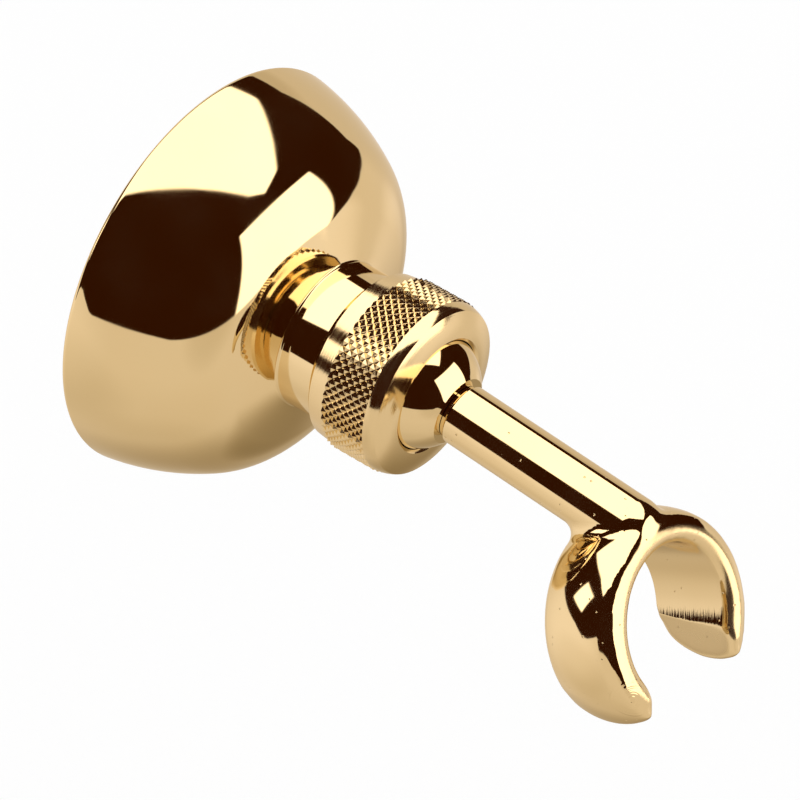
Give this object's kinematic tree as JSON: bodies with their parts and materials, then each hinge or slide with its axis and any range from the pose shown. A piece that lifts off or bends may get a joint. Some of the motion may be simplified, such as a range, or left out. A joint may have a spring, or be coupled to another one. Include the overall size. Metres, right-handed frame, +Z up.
{
  "type": "hand shower holder",
  "caption": "Wall holder for a hand shower: bell flange, ball joint under a knurled locking nut, and a round arm that ends in a C-shaped cradle, in polished brass.",
  "frame": {"origin": "centre of the bell's rim in the plane of the wall", "axes": "+Y into the wall, -Y straight out of it along the bell's axis, +Z up, +X to the right seen from behind the wall"},
  "size_m": [0.0656, 0.0973, 0.0656],
  "materials": {
    "polished_brass": "mirror polished",
    "turned_brass": "fine turned rings and a diamond knurl",
    "plated_steel": "zinc plated",
    "white_nylon": "moulded, satin"
  },
  "bodies": {
    "wall_body": {"mounting_plate": "plated_steel", "mounting_stud": "plated_steel", "stud_washer": "plated_steel", "stud_nut": "plated_steel", "bell_flange": "polished_brass", "socket_body": "polished_brass"},
    "lock_nut": {"knurled_nut": "turned_brass"},
    "swivel": {"ball_seat": "white_nylon"},
    "tilting_ball": {"ball": "polished_brass"},
    "arm": {"hook_arm": "polished_brass"}
  },
  "joints": [
    {"name": "nut_turn", "type": "hinge", "parent": "wall_body", "child": "lock_nut", "pos_m": [0, -0.0412, 0], "axis": [0, -1, 0], "range_deg": [0, 90]},
    {"name": "ball_swivel", "type": "hinge", "parent": "wall_body", "child": "swivel", "pos_m": [0, -0.0412, 0], "axis": [0, -1, 0], "continuous": true},
    {"name": "ball_tilt", "type": "hinge", "parent": "swivel", "child": "tilting_ball", "pos_m": [0, -0.0412, 0], "axis": [1, 0, 0], "range_deg": [-40, 30]},
    {"name": "arm_twist", "type": "hinge", "parent": "tilting_ball", "child": "arm", "pos_m": [0, -0.0412, 0], "axis": [0, -0.9963, -0.0854], "continuous": true}
  ]
}
